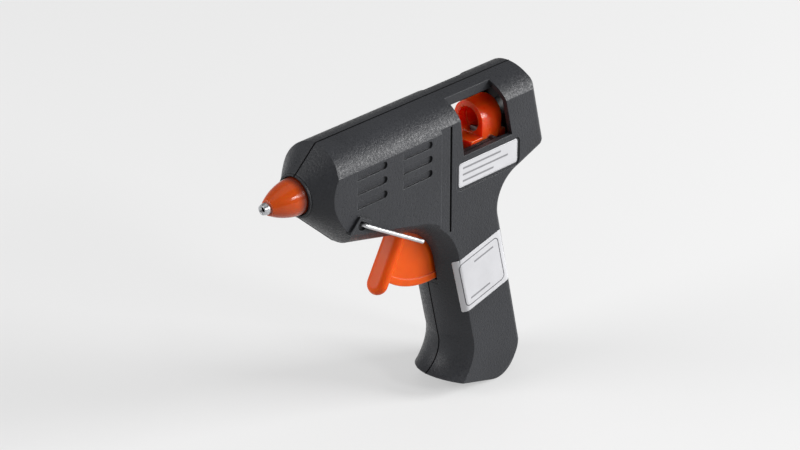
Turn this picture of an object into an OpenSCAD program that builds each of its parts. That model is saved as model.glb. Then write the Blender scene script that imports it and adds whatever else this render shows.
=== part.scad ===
// Small hot glue gun for thin glue sticks: two moulded half shells that hold a heated
// chamber with its nozzle, a trigger that drives a feed carriage, and a folding wire stand.
// Millimetres, +Z up, nozzle towards -X. The origin is the centre of the stick inlet's mouth.
// Stations (x) inside the modules are measured back from the nozzle's tip.

/* [Housing] */
// Width across the barrel's flat sides
body_w = 28; // [27:0.5:30]
// Step from the barrel's side down to the handle's side
side_step = 0.7; // [0.4:0.1:1.0]
// Wall thickness of the shells
wall = 2.2; // [1.9:0.1:2.3]
// Height of the top seam above the stick axis
top_h = 17.8; // [17.2:0.2:18.8]
// Fall of the arched top at the flat sides
top_arch = 9.6; // [9:0.2:10.2]
// Fall of the arched underside and grip front at the flat sides
low_arch = 7.4; // [6.8:0.2:7.8]
// Rounding along the back edges
back_round = 3; // [2.5:0.25:3.5]

/* [Nose] */
// Station of the nose's front face
nose_x = 16.7; // [16.5:0.1:17.1]
// Radius of the nose's front face
nose_r = 8.7; // [8.6:0.1:8.9]
// Half angle of the nose cone
nose_angle = 43; // [42:0.5:44]
// Radius of the hole that the nozzle cover comes through
hole_r = 7.6; // [7.4:0.1:7.7]

/* [Grip] */
// Rake of the grip from upright
grip_rake = 12.6; // [11.5:0.1:13.5]
// Radius of the finger bay behind the trigger
bay_r = 22.8; // [22.4:0.2:23.4]
// Radius of the finger hook at the butt
hook_r = 12.8; // [12:0.2:13.4]
// Radius of the thumb web
web_r = 14.3; // [13.6:0.1:14.8]
// Radius of the butt's back corner
butt_r = 12.5; // [10:0.5:13]

/* [Glue stick] */
// Diameter of the glue stick
stick_d = 7.2; // [7:0.1:7.4]
// Room round the stick in the inlet
stick_gap = 0.15; // [0.1:0.05:0.2]

/* [Trigger] */
// Full pull of the trigger in degrees
pull = 26; // [22:1:27]
// Radius of the trigger's rim about its pivot
rim_r = 37.5; // [37:0.25:38]
// Thickness of the trigger's plate
plate_w = 7; // [6.4:0.2:7.4]
// Width of the finger bar
bar_w = 9; // [8.4:0.2:9.4]
// Depth of the finger bar
bar_t = 5.5; // [5:0.25:6]
// Length of the forked arm from the pivot to its pins
arm_r = 18; // [17.5:0.25:18.5]

/* [Stand] */
// Diameter of the stand's wire
wire_d = 1.6; // [1.4:0.1:1.8]
// Length of the stand's legs
leg_l = 35; // [32:0.5:38]

/* [Hidden] */
$fn = 72;

// Clearances: a round fit, a sliding gap between flat faces, free air
fit = 0.05;
slide_gap = 0.3;
air = 0.4;
// Overlap that makes two tools or two lumps of one piece cross cleanly
eps = 0.12;
// How far a cutting tool or a joining lump reaches past a face
lap = 1;
// Reach of the cutting tools, larger than the housing
far = 40;

half_w = body_w / 2;
rear_half = half_w - side_step;
step_x = 78;
rear_x = 133;
rear_lean = 13.5;
rear_angle = 90 + rear_lean;
mouth_proud = 2;
mouth_x = rear_x + mouth_proud;
under_slope = 14;
block_slope = 20.5;
butt_slope = 17;
butt_point = [96, -107.8];
cord_hole_r = 3.8;
bay_c = [60, -55];
hook_drop = 40.5;
web_back = 7.3;
web_low = -35.2;
web_c = [rear_x - web_back, web_low];
corner_r = 4;
body_low = -116;
barrel_low = -46;

function unit(a) = [cos(a), sin(a)];
function inward(a) = [-sin(a), cos(a)];
function cross2(u, v) = u[0] * v[1] - u[1] * v[0];
// Radius of an arch from its half width and its fall
function arch_r(h, d) = (h * h + d * d) / (2 * d);
// Crossing point of two lines, each given by a point and an angle
function meet(p, a, q, b) = p + unit(a) * cross2(q - p, unit(b)) / cross2(unit(a), unit(b));
// Centre of an arc of radius r from p to q that bulges to the left of the way
function arc_centre(p, q, r) = let (m = (p + q) / 2, v = q - p, l = norm(v))
    m + [v[1], -v[0]] / l * sqrt(r * r - l * l / 4);

top_r = arch_r(half_w, top_arch);
low_r = arch_r(half_w, low_arch);
// Lines of the outline: the angle keeps the material on the left of the way
grip_angle = -90 + grip_rake;
back_angle = 90 + grip_rake;
under_angle = -under_slope;
grip_p = bay_c + inward(grip_angle) * bay_r;
under_p = bay_c + inward(under_angle) * bay_r;
hook_c = bay_c + inward(grip_angle) * (bay_r - hook_r) + unit(grip_angle) * hook_drop;
back_p = web_c + inward(back_angle) * web_r;
block_p = web_c + inward(block_slope) * web_r;
butt_c = meet(back_p + inward(back_angle) * butt_r, back_angle,
    butt_point + inward(-butt_slope) * butt_r, -butt_slope);
corner_c = meet([rear_x, 0] + inward(rear_angle) * corner_r, rear_angle,
    block_p + inward(block_slope) * corner_r, block_slope);

// Window through both sides: its lower edge and how far up the arch it goes
win_front = 90.5;
win_lean = 7;
win_back = 15.7;
win_rear = rear_x - win_back;
win_low = -5.5;
win_y = 5.5;
// Thicker roof strip between the windows: its underside and its inside face, down from the top seam
strip_low = 4.8;
strip_in = 1.6;
strip_ahead = 8;
// Recess of the rating plate
plate_x = 86.8;
plate_back = 11.2;
plate_l = rear_x - plate_back - plate_x;
plate_z = -19.8;
plate_h = 12.2;
plate_deep = 0.4;
plate_corner = 2.5;
// Upright groove behind the barrel
groove_x = 83.6;
groove_w = 1.1;
groove_deep = 0.8;
groove_low = -35.4;
groove_top = 9.2;
// Hood over the stand's eye: a bent rib with its corner above the eye and two legs
hood_p = [-2.1, 3.45];
hood_l = [7.4, 6.2];
hood_w = 1.3;
hood_out = 1.2;
hood_lean = 45;
// Groove beside the hood's front leg
hood_groove_w = 1.2;
hood_groove_l = 6;
// Louvres: two columns of three
vent_x = [34, 57.6];
vent_l = 15.3;
vent_h = 3;
vent_z = 4.4;
vent_pitch = 5.9;
vent_deep = 0.8;

screw_r = 1.3;
screw_head_r = 2.6;
screw_head_h = 2;
head_gap = 0.2;
cross_l = 3;
cross_w = 0.7;
cross_deep = 1;
screw_seat = 8.5;
screw_tip = 8;
boss_r = 3.1;
rear_screw = 5.1;
grip_screw = 13.93;
grip_screw_z = -66;
back_x = back_p[0] + (back_p[1] - grip_screw_z) * tan(grip_rake);
screws = [[46, -17.5], [70, -13], [rear_x - rear_screw, -11.4],
    [back_x - grip_screw, grip_screw_z], [106, -98]];

// Stick inlet
guide_r = 6;
guide_deep = 7.6;
guide_x = rear_x - guide_deep;
guide_flange_r = 8;
guide_flange_t = 2;
holder_r = 11.8;
inlet_r = stick_d / 2 + stick_gap;

// Trigger: pivot, finger bar and slot
pivot = [82.5, -22];
hub_r = 6;
hub_half = 4;
trunnion_r = 3;
trunnion_y = 9;
socket_r = 5.2;
bar_end = [57.7, -52.8];
bar_lean = 28.5;
bar_l = 23.5;
rim_h = 2.8;
// Outline of the trigger's fan, from the bar's end and from upright
fan_top = [11, 21];
fan_toe = [-6, -12];
fan_back = 8;
fan_reach = 45;
rim_proud = 0.6;
slot_gap = 0.8;
slot_half = plate_w / 2 + rim_proud + slot_gap;
slot_front = 60;
slot_rear = 93;
slot_low = -62.2;
slot_top = -24;
arm_lean = pull / 2;
arm_in = 5.2;
arm_t = 2.4;
arm_half = 2.6;
pin_r = 1.5;
bridge_half = 3;
bridge_low = 7;
bridge_high = 9.2;
arm_pin = pivot + arm_r * [sin(arm_lean), cos(arm_lean)];

// Depth below the stick axis where lugs join their tubes
lug_in = 3;

// Feed: carriage at rest, links, jaw and spring
stroke = 2 * arm_r * sin(arm_lean);
car_l = 12.8;
car_gap = 5.8;
car_x = guide_x - car_gap - car_l;
car_top_l = 10.5;
car_r = 7.5;
apron_l = 6;
apron_top = -5.4;
car_bore = stick_d / 2 + air;
car_mouth = 5.2;
car_mouth_l = 3;
lug_low = -15.2;
key_half = 10.3;
key_low = -14.6;
key_h = 3;
key_set = 0.5;
rail_t = 1.3;
rail_w = 3.6;
link_in = arm_in + arm_t + air;
link_t = 1.6;
link_half = 1.4;
link_head = 3.75;
link_tall = 5;
slot_play = 1;
link_eye_r = 2.1;
link_pin_r = 1.2;
link_pin_head_r = 2;
link_pin_head_t = 0.7;
link_pin_in = 4.6;
link_p = [car_x + 4, -7.6];
jaw_pin_r = 1;
jaw_p = [car_x + 9, -8.6];
jaw_half = 1.8;
jaw_eye_r = 2;
jaw_room = [1.6, car_l - 0.6];
jaw_tip = [car_x + 3, -4.2];
jaw_heel = [0.5, 1.9];
jaw_lip = [0.8, 0];
jaw_chin = [-0.4, -3];
jaw_foot = [-1, -1.7];
spring_z = -9.4;
spring_r = 2.4;
spring_wire_r = 0.35;
spring_turns = 6;
spring_sides = 6;
cup_r = spring_r + spring_wire_r + slide_gap;
turn_steps = 8;
spring_l = 14.8;
post_l = 2;
post_x = car_x - spring_l - post_l;
post_h = 4;
post_half = spring_r + 2;
beam_h = 4;

// Heater group
chamber_r = 6.2;
chamber_x = 22;
chamber_end = 57;
chamber_air = 1.2;
melt_gap = 0.2;
spigot_r = 5;
spigot_l = 7;
nozzle_fit_r = 4.4;
collar_w = 3.4;
collar_r = 9.5;
collar_x = [23.4, 52.8];
rib_r = 13;
rib_side = 1;
rib_set = 0.8;
heat_x = 28.6;
heat_l = 21.4;
heat_half = 5.4;
heat_low = -11;
film_t = 0.25;
plate_t = 0.4;
ptc_t = 2.4;
ptc_half = 3.9;
cell_half = ptc_half + film_t + fit;
cell_t = ptc_t + 2 * plate_t + 2 * film_t + 2 * fit;
cell_z = -8.6;
cell_end = 1;
tab_half = 1.6;
tab_out = 0.7;
clip_t = 0.8;
clip_x = 32;
clip_l = 12;
clip_h = 6.5;
sleeve_r = 6.4;
sleeve_x = 58;
sleeve_end = 75;
ring_t = 0.8;
ring_w = 2;
ring_x = 60;

// Nozzle and its cover
cover_x = 2.5;
cover_tip_r = 3;
cover_base_r = hole_r - slide_gap;
cover_arc = 27;
rim_w = 0.8;
rim_out = 0.9;
flange_r = 8.6;
flange_t = 1.2;
flange_back = 3.4;
flange_x = nose_x + flange_back;
nozzle_neck_x = 14;
nozzle_neck_r = 5.4;
nozzle_taper = 0.27;
nozzle_fit_l = 6;
tip_r = 1.9;
tip_l = 1.6;
throat_r = 2.5;
throat_x = 6;
orifice_r = 0.9;
tip_mouth_r = 1.45;
tip_mouth_l = 0.7;

// Wire stand
wire_r = wire_d / 2;
stand_p = [36.6, -14.2];
stand_fall = 31;
bush_r = 2.6;
bush_in = 8.5;
eye_r = 2.4;
leg_y = half_w + air + wire_r;
bend_r = 2;

// Places children in the frame of the finished part
module placed() translate([-mouth_x, 0, 0]) children();

// Extrudes an outline drawn in X and Z, centred on the mid plane
module flat(w) rotate([90, 0, 0]) linear_extrude(w, center = true) children();

// A flat piece from y0 to y1
module layer(y0, y1) translate([0, (y0 + y1) / 2, 0]) flat(abs(y1 - y0)) children();

// Turns a profile of radius and station about the stick axis
module turned() rotate([0, 90, 0]) rotate_extrude() children();

// A round bar along the stick axis
module along_x(r, x0, x1) translate([x0, 0, 0]) rotate([0, 90, 0]) cylinder(r = r, h = x1 - x0);

// A round bar across the part at a point of the side view
module across(p, r, y0, y1) translate([p[0], y1, p[1]]) rotate([90, 0, 0]) cylinder(r = r, h = y1 - y0);

// Sweeps a section along a line of the outline; the section's x goes into the material
module run(p, a, from, to) {
    start = p + unit(a) * from;
    n = inward(a);
    u = unit(a);
    multmatrix([[n[0], 0, u[0], start[0]], [0, -1, 0, 0], [n[1], 0, u[1], start[1]], [0, 0, 0, 1]])
        linear_extrude(to - from) children();
}

// Turns a section about a cross axis at a point of the side view
module swing(c, start, angle) translate([c[0], 0, c[1]]) rotate([90, 0, 0])
    rotate([0, 0, start]) rotate_extrude(angle = angle) children();

// Tool section of an arched edge: what lies outside the arch, to a given depth
module arch_section(r, fall, t, out) difference() {
    translate([-out, -far / 2]) square([out + fall + t, far]);
    translate([r, 0]) circle(r - t, $fn = 144);
}

// Tool section of an edge with rounded corners; ease keeps neighbouring edges from meeting in one point
module round_section(t, out, ease = eps / 2) difference() {
    translate([-out, -far / 2]) square([out + back_round, far]);
    translate([t, -(rear_half - back_round)]) square([far, 2 * (rear_half - back_round)]);
    for (s = [-1, 1]) translate([back_round, s * (rear_half - back_round)])
        circle(back_round - t + ease);
}

// Two blocks that the housing is carved from, or with t their insides
module blocks(t) {
    translate([nose_x + t, -half_w + t, barrel_low])
        cube([step_x - t - nose_x - t, body_w - 2 * t, top_h - barrel_low]);
    translate([step_x - t - lap, -rear_half + t, body_low])
        cube([rear_x + far / 8 - step_x, 2 * (rear_half - t), top_h - body_low]);
}

// Edges of the housing in the order they are carved
module edge(k, t) {
    if (k == 1) nose_tool(t);
    if (k == 2) run([rear_x + far, top_h], 180, 0, rear_x + far) arch_section(top_r, top_arch, t, far / 8);
    if (k == 3) run(under_p, under_angle, -2 * far, 0) arch_section(low_r, low_arch, t, far / 2);
    if (k == 4) run([rear_x, 0], rear_angle, -far, far) round_section(t, far / 2);
    if (k == 5) run(block_p, block_slope, 0, far) round_section(t, far / 2);
    if (k == 6) swing(web_c, 0, 360) web_section(web_r + eps, t);
    if (k == 7) run(back_p, back_angle, -3 * far, 0) round_section(t, far);
    if (k == 8) run(butt_point, -butt_slope, -far, 2 * far) translate([t - far, -far / 2]) square([far, far]);
    if (k == 9) swing(butt_c, -butt_slope - 90, back_angle + butt_slope) ring_section(butt_r + eps, t);
    if (k == 10) swing(corner_c, block_slope - 90, rear_angle - block_slope) ring_section(corner_r + eps, t);
    if (k == 11) swing(bay_c, 0, 360) bay_section(bay_r + eps, t);
    if (k == 12) run(grip_p, grip_angle, 0, hook_drop) arch_section(low_r, low_arch, t, far / 2);
    if (k == 13) swing(hook_c, 0, 360) bay_section(hook_r + eps, t);
}

// The blocks with their first k edges carved one after another
module carved(k, t) {
    if (k == 0) blocks(t);
    else difference() {
        carved(k - 1, t);
        edge(k, t);
    }
}

// Housing's outer form, or with t the same form moved inwards by t
edge_count = 13;
module form(t) carved(edge_count, t);

// What lies outside the nose cone
module nose_tool(t) {
    back = nose_x + t / sin(nose_angle);
    slope = tan(nose_angle);
    x0 = nose_x - lap;
    x1 = nose_x + far;
    turned() polygon([[nose_r + (x0 - back) * slope, x0], [nose_r + (x1 - back) * slope, x1],
        [2 * far, x1], [2 * far, x0]]);
}

// Sections of hollow curves with an arched edge and with a rounded edge
module bay_section(r, t) intersection() {
    translate([r, 0]) arch_section(low_r, low_arch, t, r);
    translate([0, -far / 2]) square([3 * far, far]);
}
module web_section(r, t) intersection() {
    translate([r, 0]) round_section(t, r, eps);
    translate([0, -far / 2]) square([3 * far, far]);
}
// Section outside a round corner with rounded edges
module ring_section(r, t) translate([r, 0]) mirror([1, 0]) round_section(t, far / 2, eps);

// Cuts of one side of the housing, drawn on the -Y side
module side_cuts() {
    rise = top_h + lap - win_low;
    layer(-half_w - lap, -win_y) polygon([[win_front, win_low], [win_rear, win_low],
        [win_rear - rise * tan(rear_lean), win_low + rise],
        [win_front - rise * tan(win_lean), win_low + rise]]);
    translate([groove_x - groove_w / 2, -half_w, groove_low])
        cube([groove_w, side_step + groove_deep, groove_top - groove_low]);
    for (x = vent_x, i = [0 : 2]) louvre([x, vent_z - i * vent_pitch]);
    across(stand_p, eye_r, -half_w - lap, -leg_y + bend_r);
    layer(-half_w - lap, -half_w + groove_deep) translate(stand_p + hood_p) rotate(180 + hood_lean)
        translate([hood_l[0] - hood_groove_l, 0]) square([hood_groove_l, hood_w / 2 + hood_groove_w]);
}

// A rectangle with round corners
module rounded(l, h, r) {
    translate([r, 0]) square([l - 2 * r, h]);
    translate([0, r]) square([l, h - 2 * r]);
    for (x = [r, l - r], y = [r, h - r]) translate([x, y]) circle(r);
}

// A louvre: a shallow blind slot with a round rear end
module louvre(p) layer(-half_w - lap, -half_w + vent_deep) translate(p) {
    square([vent_l - vent_h / 2, vent_h]);
    translate([vent_l - vent_h / 2, vent_h / 2]) circle(vent_h / 2);
}

// Raised hood over the stand's eye: one leg lies along the folded wire
module stand_hood() layer(-half_w - hood_out, -half_w + lap) translate(stand_p + hood_p) {
    rotate(180 + hood_lean) translate([0, -hood_w / 2]) square([hood_l[0], hood_w]);
    rotate(-stand_fall) translate([0, -hood_w / 2]) square([hood_l[1], hood_w]);
    circle(hood_w / 2);
}

// Inside features of one shell, drawn on the -Y side
module inside_ribs() {
    intersection() {
        for (x = collar_x) along_x(rib_r, x - rib_side, x + collar_w + rib_side);
        translate([0, -half_w + rib_set, -far]) cube([2 * far, half_w - rib_set, 2 * far]);
    }
    // Socket of the trigger's trunnion
    across(pivot, socket_r, -rear_half + lap, -slot_half);
    // Bush of the stand's wire
    across(stand_p, bush_r, -half_w + lap, -bush_in);
    // Rails of the feed carriage
    for (z = [key_low - slide_gap - rail_t, key_low + key_h + slide_gap])
        translate([car_x - stroke - lap, -rear_half + lap, z])
            cube([car_l + stroke + 2 * lap, rail_w, rail_t]);
    // Post that the spring pushes on
    translate([post_x, -rear_half + lap, spring_z - post_h - beam_h])
        cube([post_l, rear_half - lap, beam_h + lap]);
    translate([post_x, -post_half, spring_z - post_h])
        cube([post_l, post_half, post_h + spring_r + 2 * spring_wire_r]);
    // Roof strip between the windows
    translate([win_front - strip_ahead, -win_y, top_h - strip_low])
        cube([win_rear + strip_ahead - win_front, win_y, strip_low - strip_in]);
    // Plate that holds the stick guide's flange
    intersection() {
        along_x(holder_r, guide_x + guide_flange_t + fit, guide_x + guide_flange_t + wall);
        translate([guide_x, -far, -far]) cube([far, far, 2 * far]);
    }
}

// Holes through the ribs and walls of one shell, drawn on the -Y side
module inside_cuts() {
    along_x(chamber_r + chamber_air, collar_x[0] - rib_side - lap, collar_x[1] + collar_w + rib_side + lap);
    for (x = collar_x) along_x(collar_r + fit, x - fit, x + collar_w + fit);
    along_x(hole_r, nose_x - 2 * lap, nose_x + wall + lap);
    along_x(guide_r + fit, guide_x, mouth_x + far / 8);
    across(pivot, trunnion_r + fit, -trunnion_y - air, 0);
    across(stand_p, wire_r + fit, -far, 0);
    cord_inlet();
}

// Round hole in the handle's bottom for the supply cord
module cord_inlet() translate([butt_point[0], 0, butt_point[1]]) rotate([0, butt_slope, 0])
    translate([0, 0, -wall]) cylinder(r = cord_hole_r, h = 3 * wall);

// Slot in the finger bay that the trigger comes through
module trigger_slot() layer(-slot_half, slot_half) translate([slot_front, slot_low])
    square([slot_rear - slot_front, slot_top - slot_low]);

// Rim round the nose's hole
module nose_rim() difference() {
    along_x(hole_r + rim_w, nose_x - rim_out, nose_x + lap);
    along_x(hole_r, nose_x - 2 * lap, nose_x + 2 * lap);
}

// Half shell on the -Y side without the holes of its screws
module half_shell() difference() {
    union() {
        difference() {
            union() {
                difference() {
                    intersection() {
                        union() {
                            form(0);
                            nose_rim();
                        }
                        translate([-far, -far, -4 * far]) cube([6 * far, far, 6 * far]);
                    }
                    form(wall);
                }
                inside_ribs();
                for (p = screws) across(p, boss_r, -rear_half + lap, 0);
            }
            side_cuts();
        }
        stand_hood();
    }
    inside_cuts();
    trigger_slot();
}

module left_shell() color([0.29, 0.30, 0.31]) placed() difference() {
    half_shell();
    for (p = screws) across(p, screw_r + fit, -screw_tip - lap, lap);
    layer(-half_w - lap, -rear_half + plate_deep) translate([plate_x, plate_z])
        rounded(plate_l, plate_h, plate_corner);
}

module right_shell() color([0.29, 0.30, 0.31]) placed() difference() {
    mirror([0, 1, 0]) half_shell();
    for (p = screws) {
        across(p, screw_r + fit, -lap, far);
        across(p, screw_head_r + head_gap, screw_seat, far);
    }
}

module housing_screws() color("silver") placed() for (p = screws) difference() {
    union() {
        across(p, screw_r, -screw_tip, screw_seat + lap);
        across(p, screw_head_r, screw_seat, screw_seat + screw_head_h);
    }
    for (a = [0, 90]) translate([p[0], screw_seat + screw_head_h, p[1]]) rotate([0, a, 0])
        cube([cross_l, 2 * cross_deep, cross_w], center = true);
}

module stick_guide() color([0.2, 0.2, 0.21]) placed() difference() {
    union() {
        along_x(guide_r, guide_x, mouth_x);
        along_x(guide_flange_r, guide_x, guide_x + guide_flange_t);
    }
    along_x(inlet_r, guide_x - lap, mouth_x + lap);
}

module nozzle_cover() color([0.85, 0.33, 0.1]) placed() difference() {
    turned() {
        intersection() {
            translate([0, cover_x]) square([cover_base_r, flange_x + lap - cover_x]);
            translate(arc_centre([cover_base_r, nose_x], [cover_tip_r, cover_x], cover_arc))
                circle(cover_arc, $fn = 288);
        }
        translate([0, nose_x]) square([cover_base_r, flange_x + lap - nose_x]);
        translate([0, flange_x]) square([flange_r, flange_t]);
    }
    turned() polygon([[0, cover_x - lap], [nozzle_r(cover_x) + fit, cover_x - lap],
        [nozzle_r(cover_x) + fit, cover_x], [nozzle_neck_r + fit, nozzle_neck_x],
        [nozzle_neck_r + fit, far], [0, far]]);
}

// Radius of the nozzle's cone at a station ahead of its neck
function nozzle_r(x) = nozzle_neck_r - (nozzle_neck_x - x) * nozzle_taper;

module nozzle() color([0.8, 0.8, 0.8]) placed() turned() polygon([[tip_mouth_r, 0], [tip_r, 0],
    [nozzle_r(cover_x), tip_l], [nozzle_r(cover_x), cover_x], [nozzle_neck_r, nozzle_neck_x],
    [nozzle_neck_r, chamber_x], [nozzle_fit_r, chamber_x], [nozzle_fit_r, chamber_x + nozzle_fit_l],
    [throat_r, chamber_x + nozzle_fit_l], [orifice_r, throat_x], [orifice_r, tip_mouth_l]]);

module melt_chamber() color([0.75, 0.76, 0.77]) placed() difference() {
    union() {
        along_x(chamber_r, chamber_x, chamber_end);
        along_x(spigot_r, chamber_end - lap, chamber_end + spigot_l);
        translate([heat_x, -heat_half, heat_low]) cube([heat_l, 2 * heat_half, -heat_low - lug_in]);
    }
    along_x(nozzle_fit_r + fit, chamber_x - lap, chamber_x + nozzle_fit_l + fit);
    along_x(stick_d / 2 + melt_gap, chamber_x + nozzle_fit_l - lap, far * 2);
    translate([heat_x - lap, -cell_half, cell_z - cell_t / 2])
        cube([heat_l + 2 * lap, 2 * cell_half, cell_t]);
}

module collar(x) color([0.45, 0.3, 0.2]) placed() difference() {
    along_x(collar_r, x, x + collar_w);
    along_x(chamber_r + fit, x - lap, x + collar_w + lap);
}
module front_collar() collar(collar_x[0]);
module rear_collar() collar(collar_x[1]);

module ptc_heater() color([0.35, 0.35, 0.38]) placed()
    translate([heat_x + cell_end, -ptc_half + fit, cell_z - ptc_t / 2])
        cube([heat_l - 2 * cell_end, 2 * ptc_half - 2 * fit, ptc_t]);

// Contact plate on one face of the heater, with a tab to the rear
module electrode(z) color([0.8, 0.65, 0.3]) placed() {
    translate([heat_x + cell_end, -ptc_half + fit, z])
        cube([heat_l - 2 * cell_end, 2 * ptc_half - 2 * fit, plate_t]);
    translate([heat_x + heat_l - 2 * cell_end, -tab_half, z])
        cube([2 * cell_end + tab_out, 2 * tab_half, plate_t]);
}
module upper_electrode() electrode(cell_z + ptc_t / 2);
module lower_electrode() electrode(cell_z - ptc_t / 2 - plate_t);

module heater_film() color([0.75, 0.5, 0.15]) placed()
    translate([heat_x + air, 0, cell_z]) rotate([90, 0, 90]) linear_extrude(heat_l - 2 * air) difference() {
        square([2 * (ptc_half + film_t), cell_t - 2 * fit], center = true);
        square([2 * ptc_half, ptc_t + 2 * plate_t], center = true);
    }

module heater_clip() color("silver") placed() translate([clip_x, 0, 0]) rotate([90, 0, 90])
    linear_extrude(clip_l) difference() {
        translate([-heat_half - fit - clip_t, heat_low - fit - clip_t])
            square([2 * (heat_half + fit + clip_t), clip_h]);
        translate([-heat_half - fit, heat_low - fit]) square([2 * (heat_half + fit), clip_h]);
    }

module stick_sleeve() color([0.85, 0.82, 0.78]) placed() difference() {
    along_x(sleeve_r, sleeve_x, sleeve_end);
    along_x(spigot_r + fit, sleeve_x - lap, chamber_end + spigot_l + fit);
    along_x(stick_d / 2 + melt_gap, sleeve_x, sleeve_end + lap);
}

module sleeve_clip() color("silver") placed() difference() {
    along_x(sleeve_r + fit + ring_t, ring_x, ring_x + ring_w);
    along_x(sleeve_r + fit, ring_x - lap, ring_x + ring_w + lap);
}

// Finger bar: a bar of rounded section with a rounded lower end
module finger_bar() {
    side = bar_w / 2 - bar_t / 2;
    translate([bar_end[0], 0, bar_end[1]]) rotate([0, bar_lean, 0]) {
        linear_extrude(bar_l) bar_section(side);
        rotate([0, -90, 0]) rotate_extrude(angle = 360) intersection() {
            rotate(90) bar_section(side);
            translate([0, -bar_w]) square(2 * bar_w);
        }
    }
}
module bar_section(side) {
    square([bar_t, 2 * side], center = true);
    for (s = [-1, 1]) translate([0, s * side]) circle(bar_t / 2);
}

module trigger() color([0.86, 0.36, 0.13]) placed() {
    fan = [pivot, bar_end + fan_top, bar_end, bar_end + fan_toe,
        pivot + fan_reach * [sin(fan_back), -cos(fan_back)]];
    finger_bar();
    flat(plate_w) intersection() {
        translate(pivot) circle(rim_r, $fn = 144);
        polygon(fan);
    }
    flat(plate_w + 2 * rim_proud) intersection() {
        translate(pivot) difference() {
            circle(rim_r, $fn = 144);
            circle(rim_r - rim_h, $fn = 144);
        }
        polygon(fan);
    }
    across(pivot, hub_r, -hub_half, hub_half);
    across(pivot, trunnion_r, -trunnion_y, trunnion_y);
    translate([pivot[0], 0, pivot[1]]) rotate([0, arm_lean, 0]) {
        translate([-bridge_half, -plate_w / 2, 0]) cube([2 * bridge_half, plate_w, bridge_high]);
        translate([-bridge_half, -arm_in - arm_t, bridge_low])
            cube([2 * bridge_half, 2 * (arm_in + arm_t), bridge_high - bridge_low]);
        for (s = [-1, 1]) {
            translate([-arm_half, s > 0 ? arm_in : -arm_in - arm_t, bridge_low])
                cube([2 * arm_half, arm_t, arm_r - bridge_low]);
            across([0, arm_r], arm_half, s > 0 ? arm_in : -arm_in - arm_t, s > 0 ? arm_in + arm_t : -arm_in);
            across([0, arm_r], pin_r, s > 0 ? arm_in : -link_in - link_t - air,
                s > 0 ? link_in + link_t + air : -arm_in);
        }
    }
}

module feed_carriage() color([0.86, 0.3, 0.1]) placed() difference() {
    union() {
        translate([car_x, 0, 0]) rotate([90, 0, 90]) linear_extrude(car_top_l) {
            circle(car_r);
            translate([-car_r, apron_top - lap]) square([2 * car_r, lap - apron_top]);
        }
        translate([car_x - apron_l, -car_r, lug_low])
            cube([apron_l + car_l, 2 * car_r, apron_top - lug_low]);
        translate([car_x + key_set, -key_half, key_low]) cube([car_l - 2 * key_set, 2 * key_half, key_h]);
        for (s = [-1, 1]) across(link_p, link_eye_r, s > 0 ? car_r - lap : -link_in + fit,
            s > 0 ? link_in - fit : -car_r + lap);
    }
    along_x(car_bore, car_x - lap, car_x + car_l + lap);
    along_x(car_mouth, car_x - lap, car_x + car_mouth_l);
    for (s = [-1, 1]) across(link_p, link_pin_r + fit, s > 0 ? link_pin_in - fit : -far,
        s > 0 ? far : fit - link_pin_in);
    translate([car_x + jaw_room[0], -jaw_half - slide_gap, lug_low - lap])
        cube([jaw_room[1] - jaw_room[0], 2 * (jaw_half + slide_gap), -lug_low]);
    across(jaw_p, jaw_pin_r + fit, -far, far);
    translate([0, 0, spring_z]) along_x(cup_r, car_x - apron_l - lap, car_x);
}

// Link from the trigger's pin to the carriage, drawn for one side
module link(s) color([0.7, 0.71, 0.72]) placed() layer(s * link_in, s * (link_in + link_t)) difference() {
    union() {
        translate(arm_pin - [link_head, link_tall]) square([2 * link_head, 2 * link_tall]);
        translate([arm_pin[0], link_p[1] - link_half]) square([link_p[0] - arm_pin[0], 2 * link_half]);
        translate(link_p) circle(link_eye_r);
    }
    slot = pin_r + fit;
    translate(arm_pin - [slot, slot_play]) square([2 * slot, 2 * slot_play]);
    for (dz = [-slot_play, slot_play]) translate(arm_pin + [0, dz]) circle(slot);
    translate(link_p) circle(link_pin_r + fit);
}
module left_link() link(-1);
module right_link() link(1);

module link_pins() color("silver") placed() for (s = [-1, 1]) {
    out = link_in + link_t + fit;
    tip = out + link_pin_head_t;
    across(link_p, link_pin_r, s > 0 ? link_pin_in : -tip, s > 0 ? tip : -link_pin_in);
    across(link_p, link_pin_head_r, s > 0 ? out : -tip, s > 0 ? tip : -out);
}

module grip_jaw() color([0.6, 0.6, 0.62]) placed() flat(2 * jaw_half) difference() {
    union() {
        translate(jaw_p) circle(jaw_eye_r);
        polygon([jaw_p + jaw_heel, jaw_tip + jaw_lip, jaw_tip, jaw_tip + jaw_chin, jaw_p + jaw_foot]);
    }
    translate(jaw_p) circle(jaw_pin_r + fit);
}

module jaw_pin() color("silver") placed() across(jaw_p, jaw_pin_r, -car_r + fit, car_r - fit);

// Points of the spring's wire: straight ends square to the faces, and turns between them
spring_a = post_x + post_l;
spring_end = 2 * spring_wire_r;
function coil(i, n) = let (a = 360 * spring_turns * i / n)
    [spring_a + spring_end + (car_x - spring_a - 2 * spring_end) * i / n,
        spring_r * cos(a), spring_r * sin(a)];
coil_n = turn_steps * spring_turns;
spring_path = concat([coil(0, coil_n) - [spring_end, 0, 0]], [for (i = [0 : coil_n]) coil(i, coil_n)],
    [coil(coil_n, coil_n) + [spring_end, 0, 0]]);
// Least gap between turns that aren't neighbours along the wire
spring_gap = min([for (i = [0 : coil_n - 5], j = [i + 5 : coil_n])
    norm(coil(i, coil_n) - coil(j, coil_n))]) - 2 * spring_wire_r;

// Direction of a path at one of its points
function heading(path, i) = let (v = path[min(i + 1, len(path) - 1)] - path[max(i - 1, 0)]) v / norm(v);

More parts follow.
